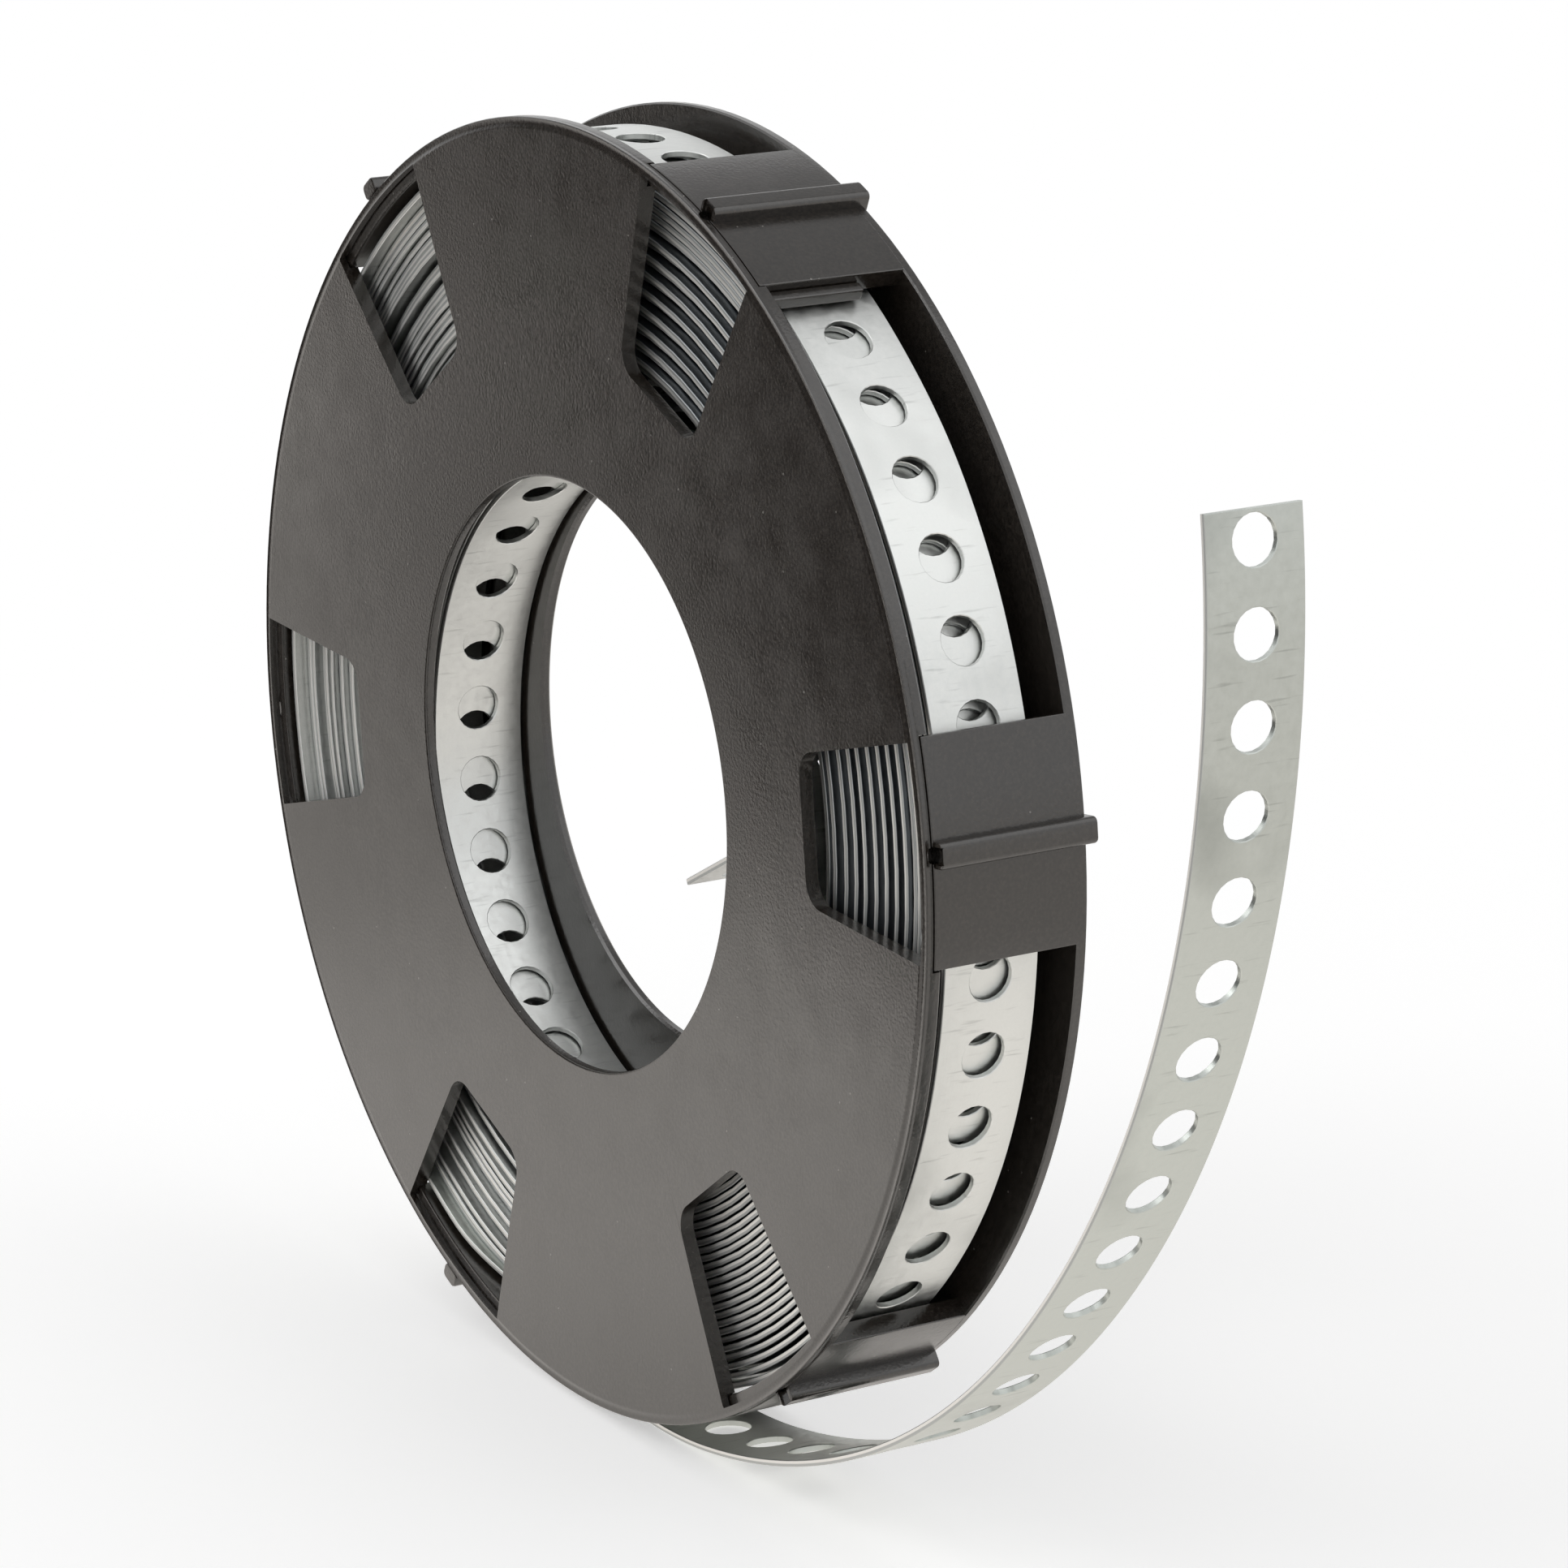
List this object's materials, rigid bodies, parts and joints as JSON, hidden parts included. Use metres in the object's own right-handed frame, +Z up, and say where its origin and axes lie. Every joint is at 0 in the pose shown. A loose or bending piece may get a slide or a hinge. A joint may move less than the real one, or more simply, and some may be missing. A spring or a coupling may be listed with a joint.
{
  "type": "perforated steel strap",
  "caption": "Perforated steel strap wound on an open plastic reel, with its free tail led out to be cut to length and screwed or nailed down.",
  "frame": {"origin": "middle of the bottom of the bounding box", "axes": "+Z up, +Y along the reel's axis towards its back, +X towards the free tail"},
  "size_m": [0.1964, 0.0218, 0.1539],
  "materials": {
    "black_plastic": "satin moulded",
    "zinc_plated_steel": "zinc plated"
  },
  "bodies": {
    "root": {"cassette_front": "black_plastic", "cassette_back": "black_plastic", "strap": "zinc_plated_steel"}
  },
  "joints": []
}
